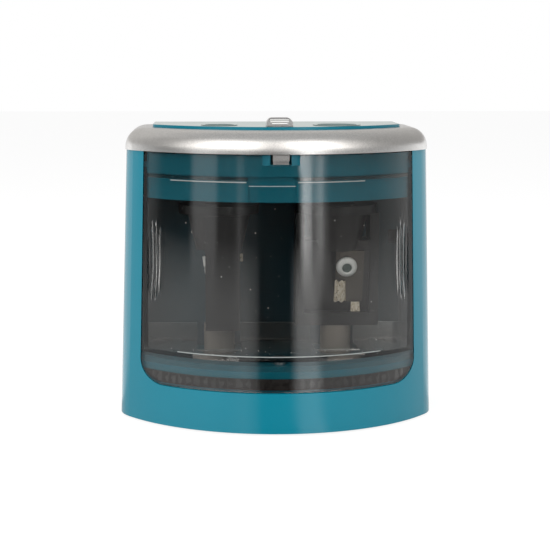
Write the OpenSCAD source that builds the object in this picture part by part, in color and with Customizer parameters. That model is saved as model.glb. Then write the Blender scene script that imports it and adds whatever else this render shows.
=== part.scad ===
// Battery pencil sharpener with two pencil holes, a smoky pull-out shavings bin,
// two spinning cutters, a gear train, a small motor and four AA cells.
// Millimetres, +Z up, front faces -Y, Z = 0 is the underside of the rubber feet.

/* [Body] */
// Width of the body at its base
body_w = 110; // [106:1:116]
// Depth of the body at its base
body_d = 68; // [68:1:74]
// Height of the top edge of the body wall
body_h = 93.6; // [93:0.2:97]
// Radius of the bowed front
front_r = 64.8; // [62:0.2:70]
// Radius of the two front corners
corner_r = 15.8; // [14:0.2:17]
// Radius of the two rear corners
rear_r = 13; // [12.6:0.2:15]
// How far each wall leans in over its height
draft = 2.9; // [2.2:0.1:3.2]
// Thickness of the body wall
wall_t = 2.2; // [1.8:0.1:2.5]
// Gap under the body wall, held by the feet
foot_drop = 0.6; // [0.4:0.1:1]
// Diameter of each rubber foot
foot_d = 9; // [8:0.5:10]

/* [Window and bin] */
// Distance from the side of the body to the window edge
win_margin = 7.1; // [6.8:0.1:8]
// Height of the lower edge of the window
win_z = 14.2; // [13.8:0.1:15]
// Radius of the lower window corners
win_r = 8; // [5:0.5:10]
// Thickness of the clear bin front
skin_t = 2; // [1.6:0.1:2.4]
// Gap all round between the bin front and the window edge
win_gap = 0.35; // [0.2:0.05:0.6]
// Underside of the bin floor
bin_z = 24.6; // [24.4:0.1:25.4]
// Thickness of the bin floor and sides
bin_t = 1.5; // [1.2:0.1:1.8]
// Clearance round each cutter hub in the bin floor
slot_gap = 2.4; // [2:0.1:3]
// Height of each finger grip
grip_h = 28; // [22:1:32]
// Depth of each finger grip
grip_depth = 0.9; // [0.5:0.1:1.1]

/* [Top] */
// Height of the flat lip of the trim ring above the body wall
lip_h = 7.5; // [7.3:0.1:8.4]
// Radius of the rounded trim ring
ring_r = 6.6; // [6:0.1:7]
// Wall of the trim ring
ring_t = 2.2; // [1.8:0.1:2.6]
// Width of the trim ring from its outside to the lip
ring_w = 9.4; // [8.8:0.1:10]
// How far the ring stands out past the body
ring_over = 0.4; // [0.2:0.1:0.8]
// Thickness of the top plate
plate_t = 1.8; // [1.4:0.1:2]
// How far the top plate stands above the lip
plate_rise = 1; // [0.8:0.1:1.4]
// Diameter of the small pencil hole
small_hole_d = 8.2; // [7.8:0.1:8.6]
// Diameter of the large pencil hole
large_hole_d = 12; // [11:0.1:12.4]
// Distance from the middle to each pencil hole
hole_x = 20; // [19:0.25:20.5]
// Distance from the middle to the pencil holes, toward the front
hole_y = 9; // [8.6:0.1:9.2]
// Width of the release button
button_w = 8.8; // [7:0.2:10]
// Height of the release button above the top plate
button_h = 2.9; // [2.6:0.1:3.4]
// Travel of the release button
button_travel = 3; // [2.4:0.1:3.2]

/* [Cutters] */
// Width of each cutter cage
cage_w = 28; // [24:0.5:29]
// Thickness of each cutter cage
cage_t = 11.4; // [10:0.2:12.4]
// Height of the underside of the cage
cage_z = 33.8; // [33.4:0.1:34.4]
// Gap between the cage flange and the apron above it
cage_gap = 2; // [1.6:0.1:2.8]
// Diameter of the cage flange
flange_d = 27; // [25:0.5:28]
// Diameter of the hub under each cage
hub_d = 10.4; // [9:0.2:11]
// Length of the tapered cutting bore
cone_l = 21; // [19:0.5:22]
// Width of each blade
blade_w = 9.4; // [8:0.2:9.8]
// Thickness of each blade
blade_t = 0.7; // [0.5:0.05:0.9]
// Head diameter of the blade screw
blade_screw_d = 7; // [5:0.2:7.4]

/* [Drive] */
// Gear module
gear_m = 0.8; // [0.76:0.01:0.82]
// Face width of the cutter gears
gear_w = 5; // [4:0.2:5.4]
// Diameter of the cutter shafts
shaft_d = 5; // [4:0.1:5.2]
// Running clearance of shafts in their bushes, on the radius
run_gap = 0.05; // [0.03:0.01:0.1]
// Width of the motor can
motor_w = 24.2; // [23:0.1:24.6]
// Depth of the motor can across its flats
motor_t = 18.2; // [16:0.1:18.4]
// Length of the motor can
motor_l = 31; // [28:0.5:34]

/* [Cells] */
// Diameter of each AA cell
cell_d = 14.3; // [13.8:0.1:14.5]
// Length of each cell without its nub
cell_l = 49.5; // [48.8:0.1:50]
// Height of the window for the cell door
door_h = 61; // [58:0.5:62]
// Gap round the cell door
door_gap = 0.3; // [0.2:0.05:0.5]

/* [Hidden] */
$fn = 72;
eps = 0.01;
slack = 0.1;       // drawn gap between a screw and its hole
fit = 0.2;         // gap between parts that drop into each other
zb = foot_drop;
half_w = body_w / 2;
front_y = -body_d / 2;
back_y = body_d / 2;
arc_y = front_y + front_r;
wall_h = body_h - zb;

// Centre of a corner circle of radius c that touches the bowed front and the side, both moved in by i
function corner_cx(i, c) = half_w - i - c;
function corner_cy(i, c) = arc_y - sqrt(pow(front_r - i - c, 2) - pow(corner_cx(i, c), 2));
cx0 = corner_cx(0, corner_r);
cy0 = corner_cy(0, corner_r);
rear_cx = half_w - rear_r;
rear_cy = back_y - rear_r;

// Inset of the drafted outside at height z
function lean(z) = draft * (z - zb) / wall_h;

// Heights of the inside
base_t = 2;
base_z = zb + base_t;
deck_z = 21;
deck_t = 2;
deck_top = deck_z + deck_t;
rail_z = bin_z - slack;
shelf_z = body_h - 5.6;
apron_z = shelf_z - 10.4;
shelf_t = 2;
shelf_top = shelf_z + shelf_t;
lip_z = body_h + lip_h;
plate_top = lip_z + plate_rise;
plate_z = plate_top - plate_t;

// Window and bin
win_half = half_w - win_margin;
win_lean = 0.75 * draft;
function win_x(z) = win_half - win_lean * (z - zb) / wall_h;
bin_half = win_half - 2.5;
liner_x = win_half - 1.5;
liner_t = 1.2;
wall_y = 8;
bin_back = 5.4;

// Cutter heights
cage_top = apron_z - cage_gap;
bar_h = 4.4;
flange_t = 3;
tip_z = cage_z + bar_h + 3;
mouth_z = tip_z + cone_l;
screw_u = 13.5;
screw_x = 3.2;

// Drive positions: the compound gear meshes with both cutter gears, the pinion drives it
teeth_cutter = 34;
teeth_small = 20;
teeth_large = 43;
teeth_pinion = 10;
mesh_a = gear_m * (teeth_cutter + teeth_small) / 2;
mesh_b = gear_m * (teeth_large + teeth_pinion) / 2;
comp_y = -hole_y + sqrt(mesh_a * mesh_a - hole_x * hole_x);
motor_y = comp_y + mesh_b;
large_z = 7;
large_w = 4;
cutter_gear_z = 13;
motor_z = 13;
mesh_ang = atan2(-hole_y - comp_y, hole_x);

// Screws of each kind: place, head height
base_screw_at = [[-45.5, 22], [45.5, 22], [-44, -4], [44, -4]];
deck_screw_at = [[0, -25.5], [-41, 5], [41, 5]];
housing_screw_at = [[-44.5, 12], [44.5, 12], [-26, 23.5], [26, 23.5]];
tray_screw_at = [[-30, 18], [30, 18]];
foot_at = [[-34, 26], [34, 26], [-33, -13], [33, -13]];
cell_at = [[-37, 20.5, 1], [-22.2, 20.5, -1], [22.2, 20.5, 1], [37, 20.5, -1]];

// ---------- shared shapes ----------

// One region of the plan, as a tall prism
module region(pts) {
  translate([0, 0, -20]) linear_extrude(200) polygon(pts);
}

// One run of a wall round the whole plan; the child is a profile in (outward, up)
module band() {
  far = 4;
  fx = cx0 + far * cx0;
  fy = cy0 + far * (cy0 - arc_y);
  intersection() {
    translate([0, arc_y, 0]) rotate_extrude($fn = 240) translate([front_r, 0]) children();
    region([[0, arc_y], [-fx, fy], [-fx, -300], [fx, -300], [fx, fy]]);
  }
  intersection() {
    translate([-half_w, back_y, 0]) rotate([90, 0, 90]) linear_extrude(2 * half_w) children();
    region([[-rear_cx, rear_cy], [rear_cx, rear_cy], [rear_cx, 300], [-rear_cx, 300]]);
  }
  for (s = [0, 1]) mirror([s, 0, 0]) {
    intersection() {
      translate([cx0, cy0, 0]) rotate([0, 0, 180]) rotate_extrude($fn = 120)
        translate([corner_r, 0]) children();
      region([[cx0, cy0], [fx, fy], [300, fy], [300, cy0]]);
    }
    intersection() {
      translate([half_w, back_y, 0]) rotate([90, 0, 0]) linear_extrude(body_d) children();
      region([[0, cy0], [300, cy0], [300, rear_cy], [0, rear_cy]]);
    }
    intersection() {
      translate([rear_cx, rear_cy, 0]) rotate([0, 0, 180]) rotate_extrude($fn = 120)
        translate([rear_r, 0]) children();
      region([[rear_cx, rear_cy], [300, rear_cy], [300, 300], [rear_cx, 300]]);
    }
  }
}

// Filled plan of the body, moved in by i, with front corner radius c and rear corner radius r
module plan(i, c = 0, r = 0) {
  cr = c > 0 ? c : corner_r - i;
  rr = r > 0 ? r : rear_r - i;
  px = corner_cx(i, cr);
  py = corner_cy(i, cr);
  rad = front_r - i;
  intersection() {
    translate([0, arc_y]) circle(rad, $fn = 240);
    polygon([[-px, py], [px, py], [3 * px, 3 * py - 2 * arc_y], [-3 * px, 3 * py - 2 * arc_y]]);
  }
  for (s = [-1, 1]) {
    translate([s * px, py]) circle(cr);
    translate([s * (half_w - i - rr), back_y - i - rr]) circle(rr);
  }
  translate([-half_w + i, py]) square([2 * (half_w - i), back_y - i - rr - py]);
  translate([-(half_w - i - rr), py]) square([2 * (half_w - i - rr), back_y - i - py]);
}

module plate_at(z, t, i, c = 0, r = 0) {
  translate([0, 0, z]) linear_extrude(t) plan(i, c, r);
}

// Solid cone that carries the bowed front face, moved in by i
module front_core(i) {
  translate([0, arc_y, zb]) cylinder(h = wall_h, r1 = front_r - i, r2 = front_r - draft - i, $fn = 240);
}

// Window outline seen from the front, grown by g
module window_outline(g, bottom = win_z, top = 120) {
  r = win_r + g;
  z0 = bottom - g;
  xr = win_x(z0 + r) + g - r;
  arc = [for (k = [0:12]) [xr + r * sin(k * 7.5), z0 + r - r * cos(k * 7.5)]];
  up = [win_x(top) + g, top];
  pts = concat(arc, [up]);
  left = [for (k = [len(pts) - 1:-1:0]) [-pts[k][0], pts[k][1]]];
  polygon(concat(pts, left));
}

module window_prism(g, y0 = -60, y1 = 12) {
  translate([0, y1, 0]) rotate([90, 0, 0]) linear_extrude(y1 - y0) window_outline(g);
}

// Straight box given by two corners
module block(a, b) {
  translate(a) cube([b[0] - a[0], b[1] - a[1], b[2] - a[2]]);
}

module rod(z0, z1, d, n = 48) {
  translate([0, 0, z0]) cylinder(h = z1 - z0, d = d, $fn = n);
}

// Countersunk or pan head screw, pointing up, head underside at z
module screw(z, len, d, head_d, head_h) {
  translate([0, 0, z - head_h]) cylinder(h = head_h, d = head_d, $fn = 36);
  translate([0, 0, z - eps]) cylinder(h = len, d = d, $fn = 36);
}

module drive_cross(z, w) {
  translate([-w / 2, -w / 8, z]) cube([w, w / 4, 3]);
  translate([-w / 8, -w / 2, z]) cube([w / 4, w, 3]);
}

// ---------- gears ----------

function gear_points(teeth, phase) = let (p = 360 / teeth, rt = gear_m * (teeth / 2 + 0.86),
  rr = gear_m * (teeth / 2 - 1.15)) [for (k = [0:teeth - 1])
    for (q = [[-0.3, rr], [-0.1, rt], [0.1, rt], [0.3, rr]])
    let (a = phase + (k + q[0]) * p) [q[1] * cos(a), q[1] * sin(a)]];

module gear(teeth, phase, z, w) {
  translate([0, 0, z]) linear_extrude(w) polygon(gear_points(teeth, phase));
}

// Phase of a gear at angle a from one whose teeth start at phase pa, so that tooth meets gap
function meshed(a, ta, pa, tb) = a + 180 - (360 / tb) * (0.5 - (a - pa) / (360 / ta));

// ---------- body ----------

module wall_profile(t = wall_t) {
  polygon([[0, zb], [-draft, body_h], [-draft - t, body_h], [-t, zb]]);
}

// Front wall behind the lower part of the bin front
module recess_wall() {
  i = skin_t + 1;
  intersection() {
    difference() {
      front_core(skin_t + 1);
      front_core(skin_t + 2.6);
    }
    block([-win_half - 1.5, front_y, win_z - 1.8], [win_half + 1.5, 12, deck_z]);
  }
  intersection() {
    difference() {
      front_core(wall_t - 0.4);
      front_core(skin_t + 2.6);
    }
    union() {
      block([-win_half - 1.5, front_y, win_z - 1.8], [win_half + 1.5, 12, win_z]);
      for (s = [-1, 1]) block([min(s * (win_half + 0.2), s * (win_half + 1.5)), front_y, win_z - 1.8],
        [max(s * (win_half + 0.2), s * (win_half + 1.5)), 12, deck_z]);
    }
  }
}

module side_boss(at, z0, z1, d, bore) {
  s = sign(at[0]);
  reach = at[1] < cy0 ? 3.1 : 1.4;
  difference() {
    union() {
      translate([at[0], at[1], 0]) rod(z0, z1, d);
      block([min(at[0], s * (half_w - reach)), at[1] - 1.2, z0],
        [max(at[0], s * (half_w - reach)), at[1] + 1.2, z1]);
    }
    translate([at[0], at[1], 0]) rod(z0 - 1, z1 - 2, bore);
  }
}

module door_prism(g) {
  block([-46 - g, 14, tray_z - 3 - g], [46 + g, 60, tray_z - 3 + door_h + g]);
}

module body_shell() {
  color("#1f8a9c") union() {
    difference() {
      band() wall_profile();
      window_prism(0);
      door_prism(0);
    }
    recess_wall();
    for (p = base_screw_at) side_boss(p, base_z, 14, 7, 2.6);
    for (p = [housing_screw_at[0], housing_screw_at[1]]) hanging_boss(p);
    for (p = [housing_screw_at[2], housing_screw_at[3]]) rear_boss(p);
  }
}

module hanging_boss(at) {
  s = sign(at[0]);
  x1 = s * (half_w - lean(shelf_z) - wall_t + 0.8);
  difference() {
    union() {
      translate([at[0], at[1], 0]) rod(shelf_z - 3.4, shelf_z, 6);
      block([min(at[0], x1), at[1] - 1.2, shelf_z - 3.4], [max(at[0], x1), at[1] + 1.2, shelf_z]);
    }
    translate([at[0], at[1], 0]) rod(shelf_z - 2.8, shelf_z + 1, 2.2);
  }
}

module rear_boss(at) {
  difference() {
    union() {
      translate([at[0], at[1], 0]) rod(shelf_z - 3.4, shelf_z, 6);
      block([at[0] - 1.2, at[1], shelf_z - 3.4],
        [at[0] + 1.2, back_y - lean(shelf_z) - wall_t + 0.8, shelf_z]);
    }
    translate([at[0], at[1], 0]) rod(shelf_z - 2.8, shelf_z + 1, 2.2);
  }
}

module base_plate() {
  color("#20343a") difference() {
    union() {
      plate_at(zb, base_t, wall_t + fit);
      for (s = [-1, 1]) translate([s * hole_x, -hole_y, 0]) rod(base_z - eps, cutter_gear_z - 0.6, 6.4);
      translate([0, comp_y, 0]) rod(base_z - eps, large_z - slack, 6);
      for (p = deck_screw_at) translate([p[0], p[1], 0]) rod(base_z - eps, deck_z, 6);
      for (s = [-1, 1]) translate([s * 17.6, motor_y + 4, 0]) rod(base_z - eps, 9.6, 5);
      for (p = tray_screw_at) translate([p[0], p[1], 0]) rod(base_z - eps, 10, 6);
    }
    for (p = base_screw_at) translate([p[0], p[1], 0]) {
      rod(0, 10, 3.2);
      rod(0, zb + 1.1, 6.4);
    }
    for (p = foot_at) translate([p[0], p[1], 0]) rod(0, zb + 0.8, foot_d + 0.2);
    for (s = [-1, 1]) translate([s * hole_x, -hole_y, 0]) rod(base_z, 20, 4.6);
    translate([0, comp_y, 0]) rod(base_z, 20, 2);
    for (p = deck_screw_at) translate([p[0], p[1], 0]) rod(deck_z - 9, deck_z + 1, 2.2);
    for (s = [-1, 1]) translate([s * 17.6, motor_y + 4, 0]) rod(base_z + 1, 12, 2.2);
    for (p = tray_screw_at) translate([p[0], p[1], 0]) rod(base_z + 1, 12, 2.2);
  }
}

module rubber_feet() {
  color("#2b2c2e") for (p = foot_at) translate([p[0], p[1], 0]) rod(0, zb + 0.8, foot_d);
}

module base_screws() {
  color("#b9bdc1") for (p = base_screw_at) translate([p[0], p[1], 0]) difference() {
    screw(zb + 1.1, 9, 2.5, 5.2, 1);
    drive_cross(zb - 2.2, 2.6);
  }
}

// ---------- top ----------

module ring_profile() {
  uo = -draft + ring_over;
  zr = lip_z - ring_r;
  difference() {
    union() {
      intersection() {
        translate([uo - ring_r, zr]) circle(ring_r, $fn = 96);
        translate([uo - ring_r, zr]) square(ring_r + 1);
      }
      translate([uo - ring_r, body_h]) square([ring_r, zr - body_h]);
      translate([uo - ring_w, lip_z - ring_t]) square([ring_w - ring_r, ring_t]);
    }
    intersection() {
      translate([uo - ring_r, zr]) circle(ring_r - ring_t, $fn = 96);
      translate([uo - ring_r - 1, zr - 1]) square(ring_r + 2);
    }
    translate([uo - ring_r - 1, body_h - 1]) square([ring_r - ring_t + 1, zr - body_h + 1]);
  }
}

module trim_ring() {
  color("#b9bec1") band() ring_profile();
}

module top_plate() {
  color("#1f8a9c") difference() {
    plate_at(plate_z, plate_t, draft - ring_over + ring_w + fit);
    translate([-hole_x, -hole_y, 0]) rod(plate_z - 1, plate_top + 1, small_hole_d + 3.2);
    translate([hole_x, -hole_y, 0]) rod(plate_z - 1, plate_top + 1, large_hole_d + 3.2);
    block([-3, button_y - 1.3, plate_z - 1], [3, button_y + 1.3 + button_travel, plate_top + 1]);
  }
}

module guide(d) {
  difference() {
    union() {
      rod(plate_top, plate_top + 0.3, d + 4.2);
      rod(apron_z + 1, plate_top + eps, d + 3);
    }
    rod(apron_z, plate_top + 2, d);
    translate([0, 0, plate_top + 0.3 - 1.2]) cylinder(h = 1.21, d1 = d, d2 = d + 1.8, $fn = 48);
  }
}

module guide_small() { color("#1b5c68") translate([-hole_x, -hole_y, 0]) guide(small_hole_d); }
module guide_large() { color("#1b5c68") translate([hole_x, -hole_y, 0]) guide(large_hole_d); }

module apron() {
  intersection() {
    difference() {
      front_core(skin_t + 0.65);
      front_core(skin_t + 3.6);
      intersection() {
        difference() {
          front_core(0);
          front_core(skin_t + 1.65);
        }
        union() {
          block([-60, -60, shelf_z - 3.4], [60, 20, shelf_z - 1.9]);
          block([-10.5, -60, apron_z - 7.6], [5, 20, shelf_z - 1.9]);
        }
      }
      intersection() {
        difference() {
          front_core(0);
          front_core(skin_t + 1.15);
        }
        block([-60, -60, apron_z - 7.6], [60, 20, shelf_z - 3.3]);
      }
      block([-3.5, -60, shelf_top], [3.5, 20, body_h]);
    }
    block([-win_half + 4, front_y, apron_z], [win_half - 4, 10, body_h - 0.4]);
  }
}

module top_housing() {
  tube_d = large_hole_d + 3 + 2 * fit;
  color("#1b7c8e") difference() {
    union() {
      plate_at(shelf_z, shelf_t, draft + wall_t + 0.35);
      apron();
      for (s = [-1, 1]) translate([s * hole_x, -hole_y, 0]) rod(apron_z + 0.5, plate_z, tube_d + 3);
      for (p = [[-38, 14], [38, 14], [0, 18]]) translate([p[0], p[1], 0]) rod(shelf_z, plate_z, 5);
      for (s = [-1, 1]) block([min(s * 2.8, s * 4.2), tab_y + 3.6 + button_travel, shelf_z],
        [max(s * 2.8, s * 4.2), -8, shelf_top + 3.4]);
      block([-4.2, button_y + 15, shelf_z], [4.2, button_y + 17, shelf_top + 5]);
    }
    translate([-hole_x, -hole_y, 0]) rod(0, 120, small_hole_d + 3 + 2 * fit);
    translate([hole_x, -hole_y, 0]) rod(0, 120, tube_d);
    difference() {
      block([-60, -60, lip_z - ring_t - fit], [60, 60, lip_z + 5]);
      plate_at(lip_z - ring_t - 2, 9, draft - ring_over + ring_w + fit);
    }
    for (p = housing_screw_at) translate([p[0], p[1], 0]) rod(shelf_z - 1, shelf_top + 1, 3);
  }
}

module housing_screws() {
  color("#b9bdc1") for (p = housing_screw_at) translate([p[0], p[1], 2 * shelf_top]) mirror([0, 0, 1])
    difference() {
      screw(shelf_top, 4.4, 2.1, 4.8, 1.6);
      drive_cross(shelf_top - 4.0, 2.6);
    }
}

// ---------- release ----------

button_y = front_y + 14.6;
tab_y = front_y + draft + 0.2;

// Dome of the button seen from the front
module button_outline() {
  r = 2.1;
  hw = button_w / 2;
  translate([-hw, 0]) square([button_w, button_h - r]);
  translate([-hw + r, 0]) square([button_w - 2 * r, button_h]);
  intersection() {
    for (s = [-1, 1]) translate([s * (hw - r), button_h - r]) circle(r, $fn = 48);
    translate([-hw, 0]) square([button_w, button_h]);
  }
}

// Frame that lies on the sloping front of the button, Y up the slope
module on_slope() {
  translate([0, button_y - 2.3, plate_top + 0.5]) rotate([36, 0, 0]) children();
}

module release_button() {
  color("#c4c8cb") union() {
    difference() {
      translate([0, button_y + 4.4, plate_top + 0.1]) rotate([90, 0, 0]) linear_extrude(6.7) button_outline();
      on_slope() translate([-6, -8, 0]) cube([12, 16, 8]);
      on_slope() difference() {
        translate([0, 0, -0.5]) linear_extrude(3)
          polygon([[-3.5, 3.6], [-3.4, 2.4], [-2.4, 0.5], [2.4, 0.5], [3.4, 2.4], [3.5, 3.6]]);
        for (v = [0.75, 1.75, 2.75]) translate([-4, v, -1]) cube([8, 0.55, 0.9]);
      }
    }
    block([-2.6, button_y - 1, shelf_top + slack], [2.6, button_y + 1, plate_top + 0.2]);
    block([-2.6, tab_y + 2, shelf_top + slack], [2.6, button_y + 4, shelf_top + 2.1]);
    block([-2.7, tab_y, shelf_top + 1.45], [2.7, tab_y + 3.2, body_h - 0.25]);
  }
}

module release_spring() {
  y0 = button_y + 4;
  y1 = button_y + 15;
  z = shelf_top + 2.4;
  n = 7;
  color("#d0d2d4") translate([0, y0, z]) rotate([-90, 0, 0]) union() {
    for (k = [0:n]) translate([0, 0, 0.3 + k * (y1 - y0 - 0.6) / n]) rotate_extrude($fn = 32)
      translate([1.7, 0]) circle(0.3, $fn = 16);
    translate([0, 1.7, 0.3]) cylinder(h = y1 - y0 - 0.6, d = 0.5, $fn = 16);
  }
}

// ---------- bin ----------

module grip(s) {
  a = s * asin((win_half - 5.6) / (front_r - lean(56)));
  zc = 56.6;
  tilt = atan2(draft, wall_h);
  big = pow(grip_h / 2, 2) / (2 * grip_depth) + grip_depth / 2;
  for (k = [-1.5:1:1.5]) translate([0, arc_y, zc]) rotate([0, 0, a + k * 1.62])
    translate([0, -(front_r - lean(zc)), 0]) rotate([-tilt, 0, 0])
      translate([0, -big + grip_depth * (abs(k) > 1 ? 0.72 : 1) - 0.62, 0]) rotate([0, 90, 0])
        rotate_extrude($fn = 180) translate([big, 0]) circle(0.62, $fn = 24);
}

module shavings_bin() {
  slot_d = hub_d + 2 * slot_gap;
  color("#7d868a") difference() {
    union() {
      intersection() {
        difference() {
          front_core(0);
          front_core(skin_t);
        }
        window_prism(-win_gap);
        block([-60, front_y - 1, 5], [60, 8, body_h - 0.3]);
      }
      intersection() {
        front_core(0.7);
        union() {
          block([-bin_half, front_y, bin_z], [bin_half, bin_back, bin_z + bin_t]);
          for (s = [-1, 1]) block([min(s * bin_half, s * (bin_half - bin_t)), front_y, bin_z],
            [max(s * bin_half, s * (bin_half - bin_t)), bin_back, apron_z - 1.2]);
          block([-bin_half, bin_back - bin_t, bin_z], [bin_half, bin_back, 31.6]);
        }
      }
      block([bin_half - bin_t, bin_back - 1, 60], [bin_half, wall_y - 0.5, 64]);
    }
    for (s = [-1, 1]) translate([s * hole_x, -hole_y, 0]) {
      block([-slot_d / 2, -slot_d / 2, 20], [slot_d / 2, 30, 40]);
    }
    for (s = [-1, 1]) grip(s);
    block([-6.2, -60, shelf_top - 0.1], [6.2, -20, 120]);
  }
}

module bin_strip() {
  color("#2a2b2a") intersection() {
    difference() {
      front_core(skin_t);
      front_core(skin_t + 0.7);
    }
    window_prism(-win_gap - 0.6);
    block([-60, front_y, win_z + 0.9], [60, 8, win_z + 4.6]);
  }
}

// ---------- chamber ----------

module chamber_liner() {
  color("#1b7c8e") difference() {
    union() {
      block([-liner_x - liner_t, wall_y, deck_top], [liner_x + liner_t, wall_y + 1.6, apron_z - 0.4]);
      for (s = [-1, 1]) block([min(s * liner_x, s * (liner_x + liner_t)), -4, deck_top],
        [max(s * liner_x, s * (liner_x + liner_t)), wall_y + 0.5, apron_z - 0.4]);
    }
    block([bin_half - 5, wall_y - 1, 59.6], [bin_half + 0.5, wall_y + 3, 64.4]);
  }
}

module gear_deck() {
  color("#1b7c8e") difference() {
    union() {
      intersection() {
        plate_at(deck_z, deck_t, wall_t + lean(deck_top) + 0.9);
        block([-60, -60, 0], [60, wall_y + 1.6, 60]);
      }
      for (s = [-1, 1]) {
        translate([s * hole_x, -hole_y, 0]) rod(deck_z - 1.6, deck_z + eps, hub_d + 6);
        block([s * 34.6 - 1.2, -14, deck_top - eps], [s * 34.6 + 1.2, bin_back, rail_z]);
      }
    }
    for (s = [-1, 1]) translate([s * hole_x, -hole_y, 0]) rod(0, 60, hub_d + 2);
    for (p = deck_screw_at) translate([p[0], p[1], 0]) rod(deck_z - 1, 60, 3);
  }
}

module deck_screws() {
  color("#b9bdc1") for (p = deck_screw_at) translate([p[0], p[1], 2 * deck_top]) mirror([0, 0, 1])
    difference() {
      screw(deck_top, 8, 2.1, 4.6, 1.2);
      drive_cross(deck_top - 3.7, 2.4);
    }
}

// Bronze rings: one in the deck and one in the base for each cutter, one thrust washer each
module spindle_bushes() {
  color("#b08d57") for (s = [-1, 1]) translate([s * hole_x, -hole_y, 0]) {
    difference() {
      rod(deck_z - 1.6, deck_top, hub_d + 2);
      rod(0, 60, hub_d + 2 * run_gap);
    }
    difference() {
      rod(base_z, cutter_gear_z - 0.6, 4.6);
      rod(base_z + 0.8, 60, shaft_d - 2 + 2 * run_gap);
    }
  }
}

// ---------- cutters ----------

module at_cutter(s) {
  translate([s * hole_x, -hole_y, 0]) rotate([0, 0, s < 0 ? -90 : 0]) children();
}

function cone_ang(d) = atan2(d / 2 - 0.8, cone_l);

// Frame whose Y = 0 plane touches the taper along its front line
module in_blade_frame(d) {
  translate([0, -0.8, tip_z]) rotate([cone_ang(d), 0, 0]) children();
}

module cage(d) {
  difference() {
    union() {
      block([-cage_w / 2, -4.6, cage_z], [cage_w / 2, -4.6 + cage_t, cage_z + bar_h]);
      for (s = [-1, 1]) block([min(s * cage_w / 2, s * (cage_w / 2 - 3)), -4.6, cage_z],
        [max(s * cage_w / 2, s * (cage_w / 2 - 3)), -4.6 + cage_t, cage_top - flange_t + eps]);
      rod(cage_top - flange_t, cage_top, flange_d, 96);
    }
    rod(cage_top - flange_t - 1, cage_top + 1, d + 1.4);
    difference() {
      rod(cage_z - 1, cage_top + 1, 60);
      rod(cage_z - 2, cage_top + 2, 2 * swing_r, 120);
    }
    rod(cage_z - 1, cage_z + 2.4, 6.4);
  }
}
swing_r = 15.4;

module cutter_block(d) {
  bw = cage_w / 2 - 3;
  difference() {
    union() {
      block([-bw, -5, cage_z + bar_h], [bw, -4.6 + cage_t, mouth_z + 1]);
      translate([0, 0, mouth_z - 3.4])
        cylinder(h = cage_top - flange_t - mouth_z + 3.4, r1 = bw - 3.4, r2 = bw - 0.4, $fn = 72);
    }
    in_blade_frame(d) block([-30, -30, -12], [30, 0.4, cone_l - 1.5]);
    rod(mouth_z, cage_top, d);
    translate([0, 0, tip_z]) cylinder(h = cone_l + eps, r1 = 0.8, r2 = d / 2, $fn = 72);
    in_blade_frame(d) translate([screw_x, 0, screw_u]) rotate([90, 0, 0])
      translate([0, 0, -4.4]) cylinder(h = 8, d = 3, $fn = 36);
  }
}

module blade(d) {
  in_blade_frame(d) difference() {
    translate([0, 0, 0.4]) linear_extrude(cone_l - 2.2)
      polygon([[-0.4, 0.4], [blade_w - 0.4, 0.4], [blade_w - 0.4, 0.4 - blade_t], [0.9, 0.4 - blade_t]]);
    translate([screw_x, 2, screw_u]) rotate([90, 0, 0]) cylinder(h = 6, d = 3.2, $fn = 36);
  }
}

module blade_screw(d) {
  in_blade_frame(d) translate([screw_x, 0.4 - blade_t, screw_u]) rotate([90, 0, 0]) difference() {
    union() {
      cylinder(h = 1.9, d = blade_screw_d, $fn = 48);
      translate([0, 0, -4]) cylinder(h = 4 + eps, d = 2.8, $fn = 36);
    }
    translate([-5, -0.5, 1.1]) cube([10, 1, 2]);
  }
}

module spindle() {
  union() {
    rod(deck_z - 1.6 - 0.2, cage_z, hub_d);
    rod(cage_z - eps, cage_z + 2.2, 6.2);
    rod(cutter_gear_z, deck_z - 1.7, shaft_d);
    rod(base_z + 0.9, cutter_gear_z + eps, shaft_d - 2);
  }
}

module cutter_gear(s) {
  a = s > 0 ? mesh_ang : 180 - mesh_ang;
  difference() {
    union() {
      gear(teeth_cutter, meshed(a, teeth_small, small_phase, teeth_cutter), cutter_gear_z, gear_w);
      rod(cutter_gear_z, cutter_gear_z + gear_w + 0.8, 9);
    }
    rod(cutter_gear_z - 1, cutter_gear_z + gear_w + 2, shaft_d + 0.02);
  }
}
small_phase = mesh_ang;
large_phase = 0;

module left_cage() { color("#26292b") at_cutter(-1) cage(small_hole_d); }
module right_cage() { color("#26292b") at_cutter(1) cage(large_hole_d); }
module left_block() { color("#3a3e41") at_cutter(-1) cutter_block(small_hole_d); }
module right_block() { color("#3a3e41") at_cutter(1) cutter_block(large_hole_d); }
module left_blade() { color("#c8ccd0") at_cutter(-1) blade(small_hole_d); }
module right_blade() { color("#c8ccd0") at_cutter(1) blade(large_hole_d); }
module left_blade_screw() { color("#b9bdc1") at_cutter(-1) blade_screw(small_hole_d); }
module right_blade_screw() { color("#b9bdc1") at_cutter(1) blade_screw(large_hole_d); }
module left_spindle() { color("#8d9296") at_cutter(-1) spindle(); }
module right_spindle() { color("#8d9296") at_cutter(1) spindle(); }
module left_gear() { color("#e3e0d6") translate([-hole_x, -hole_y, 0]) cutter_gear(-1); }
module right_gear() { color("#e3e0d6") translate([hole_x, -hole_y, 0]) cutter_gear(1); }

// ---------- drive ----------

module compound_gear() {
  color("#e3e0d6") translate([0, comp_y, 0]) difference() {
    union() {
      gear(teeth_large, large_phase, large_z, large_w);
      gear(teeth_small, small_phase, large_z + large_w - eps,
        cutter_gear_z + gear_w - large_z - large_w + 0.6);
    }
    rod(0, 30, 2 + 2 * run_gap);
  }
}

module gear_pin() {
  color("#b9bdc1") translate([0, comp_y, 0]) rod(base_z, deck_z, 2);
}

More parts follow.
